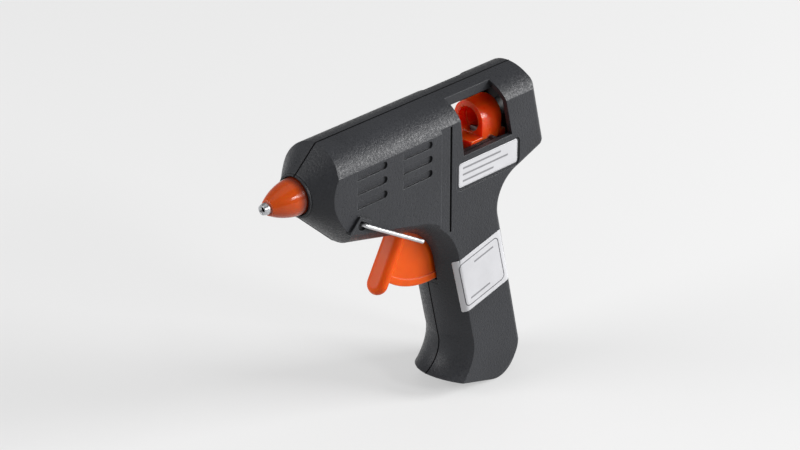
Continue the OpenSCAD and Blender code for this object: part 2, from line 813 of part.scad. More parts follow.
// One closed tube along a path that never runs along this way
side_way = [0.31, 0.2, 0.93];
module tube(path, r, sides) {
    rings = [for (i = [0 : len(path) - 1]) let (t = heading(path, i), u = cross(t, side_way),
        a = u / norm(u), b = cross(t, a))
        for (k = [0 : sides - 1]) path[i] + r * (a * cos(360 * k / sides) + b * sin(360 * k / sides))];
    last = len(path) - 1;
    walls = [for (i = [0 : last - 1], k = [0 : sides - 1]) let (m = (k + 1) % sides)
        [i * sides + k, (i + 1) * sides + k, (i + 1) * sides + m, i * sides + m]];
    polyhedron(rings, concat(walls, [[for (k = [0 : sides - 1]) k]],
        [[for (k = [sides - 1 : -1 : 0]) last * sides + k]]));
}

module return_spring() color("silver") placed() translate([0, 0, spring_z]) {
    echo(spring_gap = spring_gap);
    tube(spring_path, spring_wire_r, spring_sides);
}

module wire_stand() color([0.85, 0.86, 0.87]) placed() translate([stand_p[0], 0, stand_p[1]])
    rotate([0, stand_fall, 0]) {
        across([0, 0], wire_r, -leg_y + bend_r, leg_y - bend_r);
        for (s = [0, 1]) mirror([0, s, 0]) {
            translate([bend_r, leg_y - bend_r, 0]) rotate([0, 0, 90]) rotate_extrude(angle = 90)
                translate([bend_r, 0]) circle(wire_r);
            translate([0, leg_y, 0]) along_x(wire_r, bend_r, leg_l);
        }
    }

left_shell();
right_shell();
housing_screws();
stick_guide();
nozzle_cover();
nozzle();
melt_chamber();
front_collar();
rear_collar();
ptc_heater();
upper_electrode();
lower_electrode();
heater_film();
heater_clip();
stick_sleeve();
sleeve_clip();
trigger();
feed_carriage();
left_link();
right_link();
link_pins();
grip_jaw();
jaw_pin();
return_spring();
wire_stand();
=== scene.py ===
"""Looks of a small hot glue gun: finishes, stickers, wound spring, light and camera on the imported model."""

import math

import bmesh
import bpy
from bpy.props import FloatProperty, FloatVectorProperty, IntProperty, PointerProperty
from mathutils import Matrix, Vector
from mathutils.bvhtree import BVHTree


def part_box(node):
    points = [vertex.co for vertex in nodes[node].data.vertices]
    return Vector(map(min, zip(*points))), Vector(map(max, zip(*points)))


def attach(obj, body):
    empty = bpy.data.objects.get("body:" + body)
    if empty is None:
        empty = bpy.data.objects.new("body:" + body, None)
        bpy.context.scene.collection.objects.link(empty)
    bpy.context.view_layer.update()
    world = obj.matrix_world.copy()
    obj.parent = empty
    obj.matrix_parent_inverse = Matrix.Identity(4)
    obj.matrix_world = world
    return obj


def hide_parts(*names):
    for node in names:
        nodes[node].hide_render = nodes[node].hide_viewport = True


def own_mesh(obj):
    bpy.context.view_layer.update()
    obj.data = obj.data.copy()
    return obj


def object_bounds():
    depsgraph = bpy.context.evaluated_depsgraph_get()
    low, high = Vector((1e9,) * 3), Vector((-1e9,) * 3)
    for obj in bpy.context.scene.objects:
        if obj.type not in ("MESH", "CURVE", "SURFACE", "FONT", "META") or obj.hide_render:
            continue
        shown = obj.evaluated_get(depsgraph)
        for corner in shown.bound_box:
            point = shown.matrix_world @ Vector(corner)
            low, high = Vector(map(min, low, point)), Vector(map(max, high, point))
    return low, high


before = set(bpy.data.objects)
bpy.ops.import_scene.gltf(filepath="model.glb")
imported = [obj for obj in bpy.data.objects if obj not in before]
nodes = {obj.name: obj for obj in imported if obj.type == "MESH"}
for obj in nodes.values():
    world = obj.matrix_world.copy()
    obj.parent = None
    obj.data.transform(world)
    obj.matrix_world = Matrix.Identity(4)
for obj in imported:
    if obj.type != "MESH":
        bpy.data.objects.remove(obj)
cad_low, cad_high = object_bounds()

bl_info = {
    "name": "Glue gun looks",
    "version": (1, 0, 0),
    "blender": (4, 5, 0),
    "location": "View3D > Sidebar > Glue gun",
    "description": "Dresses the packed glue gun with finishes, stickers, a wound spring and a studio",
    "category": "Object",
}

MM = 0.001
LEFT = Vector((0, -1, 0))
# Searches for a surface start this far outside it
FAR = 40 * MM
nozzle_tip_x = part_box("nozzle")[0].x
side_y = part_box("left_shell")[0].y


def linear(red, green, blue):
    """Scene colour of an 8-bit display colour."""
    def channel(value):
        share = value / 255
        return share / 12.92 if share <= 0.04045 else ((share + 0.055) / 1.055) ** 2.4
    return channel(red), channel(green), channel(blue)


def dimmed(base_colour, share):
    """A colour times a share, no brighter than white."""
    return [min(1, share * channel) for channel in base_colour]


def length(name, description, default):
    """A size in metres."""
    return FloatProperty(name=name, description=description, default=default, unit="LENGTH", precision=5)


def angle(name, description, degrees):
    """A turn, given in degrees."""
    return FloatProperty(name=name, description=description, default=math.radians(degrees), unit="ROTATION")


def power(name, description, default):
    """A lamp's power in watts."""
    return FloatProperty(name=name, description=description, default=default, unit="POWER")


def number(name, description, default):
    """A plain number, not below nothing."""
    return FloatProperty(name=name, description=description, default=default, min=0)


def factor(name, description, default):
    """A share of one."""
    return FloatProperty(name=name, description=description, default=default, min=0, max=1)


def count(name, description, default, low):
    """A whole number, not below a given one."""
    return IntProperty(name=name, description=description, default=default, min=low)


def colour(name, description, default):
    """A colour that the user may change."""
    return FloatVectorProperty(name=name, description=description, default=default, subtype="COLOR", size=3,
                               min=0, max=1)


# Settings


class HousingLook(bpy.types.PropertyGroup):
    """Moulded half shells. Places are back from the nozzle's tip and up from the stick."""

    panel: colour("Plastic", "Colour of the black plastic", linear(44, 45, 48))
    # Lighter colour for the grain, and for the edges, where it is partly wear and partly a painted highlight
    worn_and_highlit: colour("Worn edge", "Colour of rubbed edges", linear(78, 80, 83))
    roughness: factor("Roughness", "Roughness of the plastic", 0.41)
    grain: length("Grain", "Size of the sparked grain", 0.9 * MM)
    depth: length("Grain depth", "Depth of the sparked grain", 0.2 * MM)
    edge: length("Edge", "Softness of the moulded edges", 0.45 * MM)
    # Reach of the painted shade in crevices
    crevice_shade_reach: length("Crevice", "Reach of the dark in crevices", 1.2 * MM)
    bead: length("Bead", "Radius of the bead along the parting line", 0.42 * MM)
    proud: length("Bead height", "How far the bead stands out", 0.15 * MM)
    lip_half: length("Lip half width", "Half the width of the lip below the trigger", 5.3 * MM)
    lip_low: length("Lip foot", "Lowest height of the lip below the trigger", -63 * MM)
    lip_top: length("Lip top", "Highest height of the lip below the trigger", -60.1 * MM)
    lip_thick: length("Lip thickness", "Thickness of the lip below the trigger", 2 * MM)
    grip_round: length("Grip round", "Radius of the grip's front across the halves", 16.9 * MM)
    heel_x: length("Heel back", "Place of the heel's centre", 112.69 * MM)
    heel_z: length("Heel up", "Height of the heel's centre", -99.83 * MM)
    heel: length("Heel", "Radius of the handle's back corner", 12.5 * MM)
    heel_round: length("Heel round", "Radius of the heel's side edges", 3 * MM)


class OrangeLook(bpy.types.PropertyGroup):
    """Orange mouldings."""

    trigger: colour("Trigger", "Colour of the trigger", linear(207, 77, 2))
    cover: colour("Nozzle cover", "Colour of the nozzle cover", linear(186, 68, 4))
    carriage: colour("Carriage", "Colour of the feed carriage", linear(240, 72, 12))
    # Painted shade at the cover's root, where the nose's rim shades it
    root: colour("Cover root", "Colour of the cover's dark root", linear(70, 18, 8))
    edge: length("Edge", "Softness of the moulded edges", 0.4 * MM)
    root_shade_start: length("Root start", "Where the cover begins to darken, from the tip", 11.4 * MM)
    root_shade_end: length("Root end", "Where the cover is darkest, from the tip", 15 * MM)


class MetalLook(bpy.types.PropertyGroup):
    """Metal pieces."""

    bright: colour("Bright steel", "Colour of plated steel", linear(205, 207, 210))
    wire: colour("Wire", "Colour of the stand's wire", linear(206, 207, 209))
    jaw: colour("Jaw", "Colour of the jaw's steel", linear(128, 126, 124))
    black: colour("Black steel", "Colour of the blackened links", linear(30, 31, 33))
    brass: colour("Brass", "Colour of the contact plates", linear(205, 165, 85))
    cast: colour("Cast aluminium", "Colour of the melt chamber", linear(186, 188, 190))
    # Colour of the soot near the tip, also used for the painted shade in the nozzle's hole
    soot_and_hole_shade: colour("Soot", "Colour of the burnt glue on the nozzle", (0.02, 0.014, 0.01))
    turning: length("Turning marks", "Pitch of the lathe marks on the nozzle", 0.35 * MM)


class StickerLook(bpy.types.PropertyGroup):
    """White stickers on the left shell. Places are back from the nozzle's tip and up from the stick."""

    paper: colour("Paper", "Colour of the stickers", linear(188, 188, 191))
    line: colour("Line", "Colour of the border line", linear(70, 70, 74))
    thickness: length("Thickness", "Thickness of a sticker", 0.12 * MM)
    rule: length("Rule", "Thickness of the plain printed rules", 0.8 * MM)
    grip_x: length("Grip sticker back", "Place of the grip sticker's middle", 101.6 * MM)
    grip_z: length("Grip sticker up", "Height of the grip sticker's middle", -59.7 * MM)
    grip_width: length("Grip sticker width", "Width of the grip sticker", 26.2 * MM)
    grip_height: length("Grip sticker height", "Height of the grip sticker", 25 * MM)
    grip_corner: length("Grip sticker corner", "Radius of the grip sticker's corners", 0.6 * MM)
    rake: angle("Rake", "Lean of the grip sticker", 13.6)
    lean: angle("Lean", "Turn to the front from which the grip sticker is laid on", 17)
    plate_x: length("Rating sticker back", "Place of the rating sticker's middle", 104.4 * MM)
    plate_z: length("Rating sticker up", "Height of the rating sticker's middle", -13.5 * MM)
    plate_width: length("Rating sticker width", "Width of the rating sticker", 32.5 * MM)
    plate_height: length("Rating sticker height", "Height of the rating sticker", 10.2 * MM)
    plate_corner: length("Rating sticker corner", "Radius of the rating sticker's corners", 1.3 * MM)


class SpringLook(bpy.types.PropertyGroup):
    """Wound return spring."""

    turns: number("Turns", "Turns of the coil", 6)
    wire: length("Wire radius", "Radius of the spring's wire", 0.35 * MM)
    steps: count("Steps", "Points along the wire", 260, 32)
    sides: count("Sides", "Sides of the wire", 12, 6)


class StageLook(bpy.types.PropertyGroup):
    """Camera, light and floor."""

    azimuth: angle("Azimuth", "Camera's turn from the left side", -45)
    elevation: angle("Elevation", "Camera's height angle", 28)
    distance: length("Distance", "Camera's distance", 0.988)
    focal_px: number("Focal length", "Focal length in pixels of the picture", 2600)
    image_width: count("Picture width", "Picture's width in pixels", 800, 1)
    target: FloatVectorProperty(name="Target", description="Middle of the picture from the nozzle's tip",
                                size=3, default=(0.06976, 0, -0.0321), unit="LENGTH", precision=5)
    floor: colour("Floor", "Colour of the floor as it is lit", linear(165, 165, 165))
    bounce: colour("Bounce", "Colour of the light that the floor throws back", linear(170, 170, 170))
    glow: number("Glow", "Share of the floor's look that no shadow dims", 1.1)
    reach: length("Floor reach", "Half the width of the floor", 8.0)
    key: power("Key light", "Power of the soft light behind the left side", 57)
    side: power("Side light", "Power of the soft light ahead of the right side", 27)
    glint: power("Glint light", "Power of the small light beside the nose", 9)
    top: power("Top light", "Power of the light overhead", 6)
    ambient: number("Ambient", "Strength of the even light all round", 0.3)


# Node helpers


def add(tree, kind, values=None, **settings):
    """A node with its settings and its inputs, which may be values or other nodes' sockets."""
    made = tree.nodes.new(kind)
    for key, value in settings.items():
        setattr(made, key, value)
    for key, value in (values or {}).items():
        if isinstance(value, bpy.types.NodeSocket):
            tree.links.new(value, made.inputs[key])
        else:
            made.inputs[key].default_value = value
    return made


def maths(tree, operation, first, second=0.0):
    """One sum on two numbers or sockets."""
    return add(tree, "ShaderNodeMath", {0: first, 1: second}, operation=operation).outputs[0]


def within(tree, value, middle, half):
    """1 where a value lies no further than half from the middle, and 0 elsewhere."""
    return add(tree, "ShaderNodeMath", {0: value, 1: middle, 2: half}, operation="COMPARE").outputs[0]


def ramp(tree, value, low, high, to_low=0.0, to_high=1.0):
    """A smooth step from low to high."""
    return add(tree, "ShaderNodeMapRange", {0: value, 1: low, 2: high, 3: to_low, 4: to_high},
               interpolation_type="SMOOTHSTEP").outputs[0]


def spread(tree, value, to_low=0.0, to_high=1.0):
    """A noise's usual range stretched to two new ends."""
    return ramp(tree, value, 0.3, 0.7, to_low, to_high)


def mixed(tree, share, first, second):
    """A colour between two colours."""
    made = add(tree, "ShaderNodeMix", data_type="RGBA")
    for socket, value in zip((made.inputs[0], made.inputs[6], made.inputs[7]), (share, first, second)):
        if isinstance(value, bpy.types.NodeSocket):
            tree.links.new(value, socket)
        elif hasattr(value, "__len__"):
            socket.default_value = (*value, 1)
        else:
            socket.default_value = value
    return made.outputs[2]


def noise(tree, where, size, detail=2.0, roughness=0.5):
    """Noise with blotches of a given size."""
    return add(tree, "ShaderNodeTexNoise", {"Vector": where, "Scale": 1 / size, "Detail": detail,
                                            "Roughness": roughness}).outputs[0]


def finish(name, **constants):
    """A new material, its tree, its shader and its Object coordinates."""
    material = bpy.data.materials.new(name)
    material.use_nodes = True
    tree = material.node_tree
    shader = tree.nodes["Principled BSDF"]
    for key, value in constants.items():
        socket = shader.inputs[key.replace("_", " ").title().replace("Ior", "IOR")]
        socket.default_value = value
    where = add(tree, "ShaderNodeTexCoord").outputs["Object"]
    return material, tree, shader, where


def painted(tree, shader, base, rough):
    """Links a colour and a roughness to the shader."""
    tree.links.new(base, shader.inputs["Base Color"])
    tree.links.new(rough, shader.inputs["Roughness"])


def soft_edges(tree, radius):
    """Normal that rounds sharp edges, and how strongly a place belongs to an edge."""
    bevel = add(tree, "ShaderNodeBevel", {"Radius": radius}, samples=6).outputs[0]
    flat = add(tree, "ShaderNodeNewGeometry").outputs["Normal"]
    along = add(tree, "ShaderNodeVectorMath", {0: bevel, 1: flat}, operation="DOT_PRODUCT").outputs["Value"]
    return bevel, ramp(tree, along, 0.995, 0.9)


def painted_crevice_shade(tree, reach, open_air, closed, most=1.0):
    """Painted shade: how deep a place lies in a crevice of its own piece, from its share of open air to a
    closed one.
    """
    shade = add(tree, "ShaderNodeAmbientOcclusion", {"Distance": reach}, samples=8, only_local=True)
    return ramp(tree, shade.outputs["AO"], open_air, closed, 0, most)


def bumped(tree, shader, height, distance, normal=None):
    """Bump on the shader, over a given normal."""
    made = add(tree, "ShaderNodeBump", {"Strength": 1.0, "Distance": distance, "Height": height})
    if normal is not None:
        tree.links.new(normal, made.inputs["Normal"])
    tree.links.new(made.outputs[0], shader.inputs["Normal"])


def coat(material, *names):
    """Gives CAD nodes their finish."""
    for name in names:
        mesh = nodes[name].data
        mesh.materials.clear()
        mesh.materials.append(material)


# Finishes

# Near black of painted shade, in crevices and along the parting line
PAINTED_SHADE_BLACK = (0.004, 0.004, 0.0045)
# Blotches of colour on each kind of surface
SHELL_BLOTCH = 30 * MM
ORANGE_BLOTCH = 9 * MM
METAL_BLOTCH = 5 * MM
STICKER_BLOTCH = 8 * MM
# Fine grain of the smooth surfaces and how deep it goes
ORANGE_GRAIN, ORANGE_DEPTH = 0.6 * MM, 0.015 * MM
NOZZLE_GRAIN, NOZZLE_DEPTH = 0.3 * MM, 0.006 * MM
STICKER_GRAIN, STICKER_DEPTH = 0.5 * MM, 0.01 * MM
MATT_DEPTH = 0.02 * MM
# How far light goes into the orange plastic
ORANGE_GLOW = 8 * MM
# The nozzle: where its soot is thickest and where it ends, its edges and the reach of the painted shade in
# its hole
SOOT_START, SOOT_END = 0.2 * MM, 3 * MM
NOZZLE_EDGE = 0.2 * MM
NOZZLE_HOLE = 2 * MM
# One unit of a sticker's map in metres, and how dark the rules are
STICKER_MAP = 0.1
RULE_INK = 0.7


def shell_finish(look):
    """Black plastic with sparked grain, rubbed edges that also carry a painted highlight, and painted shade
    in crevices.
    """
    material, tree, shader, where = finish("sparked_black_plastic", specular_ior_level=0.2)
    bevel, edge = soft_edges(tree, look.edge)
    grain = noise(tree, where, look.grain, 3, 0.65)
    cloud = noise(tree, where, SHELL_BLOTCH, 3)
    # Edges lighter: partly rubbed wear, partly a painted highlight
    rubbed_and_highlit_edges = maths(tree, "MULTIPLY", edge, ramp(tree, cloud, 0.35, 0.7, to_low=0.25, to_high=0.7))
    base = mixed(tree, spread(tree, cloud), dimmed(look.panel, 0.9), dimmed(look.panel, 1.1))
    base = mixed(tree, ramp(tree, grain, 0.45, 0.8, to_high=0.12), base, look.worn_and_highlit)
    base = mixed(tree, rubbed_and_highlit_edges, base, look.worn_and_highlit)
    # Painted shade: crevices are darkened toward near black
    base = mixed(tree, painted_crevice_shade(tree, look.crevice_shade_reach, 0.85, 0.4, most=0.8), base, PAINTED_SHADE_BLACK)
    painted(tree, shader, base, spread(tree, grain, look.roughness - 0.16, look.roughness + 0.14))
    bumped(tree, shader, grain, look.depth, bevel)
    return material


def orange_finish(name, base_colour, edge_size, roughness, gloss, glow, root=None):
    """Orange plastic with flow marks and soft edges with a painted highlight, which may have painted shade
    along X toward its root.
    """
    material, tree, shader, where = finish(name, subsurface_weight=glow, subsurface_scale=ORANGE_GLOW,
                                           specular_ior_level=gloss)
    bevel, edge = soft_edges(tree, edge_size)
    cloud = noise(tree, where, ORANGE_BLOTCH, 3)
    base = mixed(tree, spread(tree, cloud), dimmed(base_colour, 0.9), base_colour)
    # Painted highlight: the soft edges are painted lighter
    lit = [channel + 0.25 * (1 - channel) for channel in base_colour]
    base = mixed(tree, maths(tree, "MULTIPLY", edge, 0.35), base, lit)
    # Painted shade: the colour darkens along X toward the root
    if root:
        start, end, dark = root
        along = add(tree, "ShaderNodeSeparateXYZ", {0: where}).outputs["X"]
        base = mixed(tree, ramp(tree, along, start, end, to_high=0.85), base, dark)
    painted(tree, shader, base, spread(tree, cloud, roughness - 0.05, roughness + 0.05))
    bumped(tree, shader, noise(tree, where, ORANGE_GRAIN), ORANGE_DEPTH, bevel)
    return material


def metal_finish(name, base_colour, roughness, grain_size, grain_depth=0.004 * MM, metallic=1.0,
                 edge=0.15 * MM):
    """Metal with fine scratches and cloudy polish."""
    material, tree, shader, where = finish(name, metallic=metallic)
    fine = noise(tree, where, grain_size, 3)
    cloud = noise(tree, where, METAL_BLOTCH)
    base = mixed(tree, spread(tree, cloud), dimmed(base_colour, 0.86), base_colour)
    painted(tree, shader, base, spread(tree, fine, 0.7 * roughness, 1.3 * roughness))
    bumped(tree, shader, fine, grain_depth, soft_edges(tree, edge)[0] if edge else None)
    return material


def turned_finish(name, look):
    """Turned metal with lathe marks round the stick's axis, soot near the tip and painted shade in its hole.
    """
    material, tree, shader, where = finish(name, metallic=1.0)
    back = add(tree, "ShaderNodeSeparateXYZ", {0: where}).outputs["X"]
    marks = maths(tree, "SINE", maths(tree, "MULTIPLY", back, 2 * math.pi / look.turning))
    fine = noise(tree, where, NOZZLE_GRAIN, 3)
    soot_and_hole_shade = ramp(tree, back, nozzle_tip_x + SOOT_START, nozzle_tip_x + SOOT_END, 0.45, 0.0)
    soot_and_hole_shade = maths(tree, "MULTIPLY", soot_and_hole_shade, fine)
    # Painted shade: the hole is darkened toward the soot colour
    soot_and_hole_shade = maths(tree, "MAXIMUM", soot_and_hole_shade, painted_crevice_shade(tree, NOZZLE_HOLE, 0.6, 0.3))
    base = mixed(tree, soot_and_hole_shade, look.bright, look.soot_and_hole_shade)
    painted(tree, shader, base, spread(tree, fine, 0.18, 0.34))
    bevel, _ = soft_edges(tree, NOZZLE_EDGE)
    bumped(tree, shader, maths(tree, "ADD", marks, fine), NOZZLE_DEPTH, bevel)
    return material


def plain_finish(name, base_colour, roughness, grain_size, gloss=0.5):
    """Matt material with a fine grain."""
    material, tree, shader, where = finish(name, specular_ior_level=gloss)
    grain = noise(tree, where, grain_size, 3)
    base = mixed(tree, grain, dimmed(base_colour, 0.8), dimmed(base_colour, 1.15))
    painted(tree, shader, base, spread(tree, grain, roughness - 0.06, roughness + 0.06))
    bumped(tree, shader, grain, MATT_DEPTH)
    return material


def sticker_finish(name, look, size, corner, inset, line, rules):
    """White film with a thin rounded border line and plain rules, drawn from the sticker's own map.

    A rule is its left end, its right end and its height from the sticker's middle.
    """
    material, tree, shader, where = finish(name)
    flat = add(tree, "ShaderNodeUVMap", uv_map="sticker").outputs[0]
    parts = add(tree, "ShaderNodeSeparateXYZ", {0: flat}).outputs
    squares = []
    for axis, side in zip("XY", size):
        centred = maths(tree, "ABSOLUTE", maths(tree, "SUBTRACT", parts[axis], 0.5))
        place = maths(tree, "MULTIPLY", centred, STICKER_MAP)
        beyond = maths(tree, "SUBTRACT", place, side / 2 - inset - corner)
        reach = maths(tree, "MAXIMUM", beyond, 0.0)
        squares.append(maths(tree, "MULTIPLY", reach, reach))
    round_way = maths(tree, "SQRT", maths(tree, "ADD", *squares))
    off_line = maths(tree, "ABSOLUTE", maths(tree, "SUBTRACT", round_way, corner))
    inked = ramp(tree, off_line, line, 0.4 * line)
    for left, right, level in rules:
        middle, half = (left + right) / 2 / STICKER_MAP, (right - left) / 2 / STICKER_MAP
        along = within(tree, parts["X"], 0.5 + middle, half)
        row = within(tree, parts["Y"], 0.5 + level / STICKER_MAP, look.rule / 2 / STICKER_MAP)
        rule = maths(tree, "MULTIPLY", maths(tree, "MULTIPLY", along, row), RULE_INK)
        inked = maths(tree, "MAXIMUM", inked, rule)
    fibre = noise(tree, where, STICKER_GRAIN, 3)
    stain = noise(tree, where, STICKER_BLOTCH, 3)
    base = mixed(tree, ramp(tree, stain, 0.35, 0.75), look.paper, dimmed(look.paper, 0.93))
    base = mixed(tree, maths(tree, "MULTIPLY", fibre, 0.06), base, look.line)
    base = mixed(tree, inked, base, look.line)
    painted(tree, shader, base, spread(tree, fibre, 0.36, 0.5))
    bumped(tree, shader, fibre, STICKER_DEPTH)
    return material


# Thin pieces


def outside(node):
    """Search tree of a CAD node's surface."""
    mesh = nodes[node].data
    return BVHTree.FromPolygons([v.co for v in mesh.vertices], [p.vertices for p in mesh.polygons])


def linked(name, data):
    """An object in the scene with a given mesh, camera or lamp."""
    made = bpy.data.objects.new(name, data)
    bpy.context.scene.collection.objects.link(made)
    return made


def sheet(name, front, back, flat=None):
    """A closed piece between two grids of points, with a map where the grid's flat places are given."""
    made = bmesh.new()
    grids = [[[made.verts.new(point) for point in column] for column in side] for side in (front, back)]
    columns, rows = len(front), len(front[0])
    for i in range(columns - 1):
        for j in range(rows - 1):
            ring = ((i, j), (i + 1, j), (i + 1, j + 1), (i, j + 1))
            made.faces.new([grids[0][a][b] for a, b in ring])
            made.faces.new([grids[1][a][b] for a, b in reversed(ring)])
    rim = [(i, 0) for i in range(columns)] + [(columns - 1, j) for j in range(1, rows)]
    rim += [(i, rows - 1) for i in range(columns - 2, -1, -1)] + [(0, j) for j in range(rows - 2, 0, -1)]
    for (i, j), (k, m) in zip(rim, rim[1:] + rim[:1]):
        made.faces.new((grids[0][i][j], grids[1][i][j], grids[1][k][m], grids[0][k][m]))
    if flat:
        layer = made.loops.layers.uv.new("sticker")
        places = {grid[i][j]: flat[i][j] for grid in grids for i in range(columns) for j in range(rows)}
        for face in made.faces:
            for loop in face.loops:
                loop[layer].uv = places[loop.vert]
    for face in made.faces:
        face.smooth = True
    bmesh.ops.recalc_face_normals(made, faces=made.faces)
    mesh = bpy.data.meshes.new(name)
    made.to_mesh(mesh)
    made.free()
    return linked(name, mesh)


# Stickers

# Steps of the grid between the corners along and up, and over one corner
STICKER_COLUMNS, STICKER_ROWS, CORNER_STEPS = 24, 20, 4
# How much of the thickness is air below the film
STICKER_LIFT = 0.2
RATING_RULES = ((-14 * MM, 7 * MM, 2.7 * MM), (-14 * MM, 11 * MM, 0), (-14 * MM, 3 * MM, -2.7 * MM))
GRIP_RULES = ((-3 * MM, 8 * MM, 7.2 * MM), (-8 * MM, 3 * MM, -7.6 * MM))


def disc_corner(along, beside):
    """Where a point of a unit square goes on a quarter disc."""
    return along * math.sqrt(1 - beside * beside / 2), beside * math.sqrt(1 - along * along / 2)


def rounded_point(u, v, width, height, radius):
    """Place of a grid point on a rounded rectangle about its middle."""
    edge_u, edge_v = width / 2 - radius, height / 2 - radius
    if abs(u) > edge_u and abs(v) > edge_v:
        du, dv = disc_corner((abs(u) - edge_u) / radius, (abs(v) - edge_v) / radius)
        return math.copysign(edge_u + radius * du, u), math.copysign(edge_v + radius * dv, v)
    return u, v


def grid_lines(size, radius, between):
    """Grid lines from edge to edge, with lines where the rounded corners begin."""
    inner = size / 2 - radius
    corner = [inner + radius * i / CORNER_STEPS for i in range(1, CORNER_STEPS + 1)]
    middle = [-inner + 2 * inner * i / between for i in range(between + 1)]
    return [-line for line in reversed(corner)] + middle + corner


def sticker(name, centre, size, radius, thickness, turn=0, lean=0):
    """A thin film with round corners on the left shell.

    It is laid on from ahead by the lean, so that it wraps an edge.
    """
    hull = outside("left_shell")
    inward = Vector((math.sin(lean), math.cos(lean), 0))
    middle = Vector((nozzle_tip_x + centre[0], side_y - FAR, centre[1]))
    level = hull.ray_cast(middle, -LEFT)[0].y
    front, back, flat = [], [], []
    for u in grid_lines(size[0], radius, STICKER_COLUMNS):
        for grid in (front, back, flat):
            grid.append([])
        for v in grid_lines(size[1], radius, STICKER_ROWS):
            p, q = rounded_point(u, v, *size, radius)
            place = Vector((middle.x + p * math.cos(turn) - q * math.sin(turn), level,
                            middle.z + p * math.sin(turn) + q * math.cos(turn)))
            near = hull.ray_cast(place - FAR * inward, inward)[0]
            front[-1].append(near - inward * thickness)
            back[-1].append(near - inward * STICKER_LIFT * thickness)
            flat[-1].append((0.5 + p / STICKER_MAP, 0.5 + q / STICKER_MAP))
    return sheet(name, front, back, flat)


# Lip below the trigger

LIP_COLUMNS, LIP_ROWS = 12, 6
# How far beside the lip the bay is measured, and how far the lip lies behind it
LIP_BESIDE = 0.3 * MM
LIP_SUNK = 0.05 * MM


def slot_lip(look):
    """A lip across the foot of the trigger's slot, level with the finger bay beside it."""
    hull = outside("left_shell")
    beside = look.lip_half + LIP_BESIDE

    def fall(y):
        """How far the round front lies behind its middle."""
        return look.grip_round - math.sqrt(look.grip_round ** 2 - y * y)

    front, back = [], []
    for i in range(LIP_COLUMNS + 1):
        y = look.lip_half * (2 * i / LIP_COLUMNS - 1)
        front.append([])
        back.append([])
        for j in range(LIP_ROWS + 1):
            z = look.lip_low + (look.lip_top - look.lip_low) * j / LIP_ROWS
            start = Vector((nozzle_tip_x + FAR, -beside, z))
            edge = hull.ray_cast(start, Vector((1, 0, 0)))[0].x
            x = edge + fall(y) - fall(beside) + LIP_SUNK
            front[-1].append(Vector((x, y, z)))
            back[-1].append(Vector((x + look.lip_thick, y, z)))
    return sheet("slot_lip", front, back)


# Heel

HEEL_COLUMNS, HEEL_ROWS = 40, 8
# Bearings about the heel's centre between which its side edge goes from sharp to round
HEEL_START, HEEL_SWEEP = math.radians(-108), math.radians(105)
# Shares of the side edge's radius: how far the round end is sunk, and where the back lies
HEEL_SUNK = 0.01
HEEL_BACK = 0.7


def heel_corner(name, side, look):
    """Lets the bottom's sharp edge on one side run out smoothly into the heel's round edge."""
    centre = Vector((nozzle_tip_x + look.heel_x, 0, look.heel_z))
    flank = outside("left_shell").ray_cast(centre + FAR * LEFT, -LEFT)[0]
    inner_side = abs(flank.y) - look.heel_round
    inner_radius = look.heel - look.heel_round
    front, back = [], []
    for i in range(HEEL_COLUMNS + 1):
        share = i / HEEL_COLUMNS
        sharp = 1 - share * share * (3 - 2 * share)
        bearing = HEEL_START + HEEL_SWEEP * share
        front.append([])
        back.append([])
        for j in range(HEEL_ROWS + 1):
            turn = math.pi / 2 * j / HEEL_ROWS
            corner = 1 / max(math.cos(turn), math.sin(turn))
            for grid, reach in ((front, 1 - HEEL_SUNK + sharp * (corner - 1)), (back, HEEL_BACK)):
                radius = inner_radius + look.heel_round * min(1, reach * math.cos(turn))
                beside = inner_side + look.heel_round * min(1 - HEEL_SUNK, reach * math.sin(turn))
                place = Vector((radius * math.cos(bearing), side * beside, radius * math.sin(bearing)))
                grid[-1].append(centre + place)
    return sheet(name, front, back)


# Pieces that follow a path


def shape_tree(name, inputs):
    """A new geometry tree with named inputs, and their sockets."""
    tree = bpy.data.node_groups.new(name, "GeometryNodeTree")
    tree.interface.new_socket("Geometry", in_out="OUTPUT", socket_type="NodeSocketGeometry")
    for label, kind in inputs.items():
        tree.interface.new_socket(label, in_out="INPUT", socket_type="NodeSocket" + kind)
    return tree, tree.nodes.new("NodeGroupInput").outputs


def end_in_wire(tree, curve, radius, sides, material):
    """Ends a tree in a round wire along a curve, with its material."""
    ring = add(tree, "GeometryNodeCurvePrimitiveCircle", {"Resolution": sides, "Radius": radius}).outputs[0]
    wire = add(tree, "GeometryNodeCurveToMesh", {"Curve": curve, "Profile Curve": ring, "Fill Caps": True})
    smooth = add(tree, "GeometryNodeSetShadeSmooth", {"Geometry": wire.outputs[0]}).outputs[0]
    real = add(tree, "GeometryNodeRealizeInstances", {"Geometry": smooth}).outputs[0]
    coated = add(tree, "GeometryNodeSetMaterial", {"Geometry": real, "Material": material}).outputs[0]
    add(tree, "NodeGroupOutput", {"Geometry": coated})


def grown(name, tree, values, path=None):
    """A plain mesh piece from a node tree, the values of its named inputs and the mesh that it follows."""
    host = linked(name + "_host", path or bpy.data.meshes.new(name + "_host"))
    modifier = host.modifiers.new("shape", "NODES")
    modifier.node_group = tree
    for item in tree.interface.items_tree:
        if item.in_out == "INPUT" and item.socket_type != "NodeSocketGeometry":
            modifier[item.identifier] = values[item.name]
    mesh = bpy.data.meshes.new_from_object(host.evaluated_get(bpy.context.evaluated_depsgraph_get()))
    bpy.data.objects.remove(host)
    return linked(name, mesh)


# Parting line

BEAD_SIDES = 12
# Points closer than this to the middle plane lie on the mating face
SEAM_REACH = 0.001 * MM
# How far outside an edge, and at which shares of it, the way to the left is tested
OUTLINE_STEP = 0.4 * MM
OUTLINE_SHARES = (0.05, 0.5, 0.95)


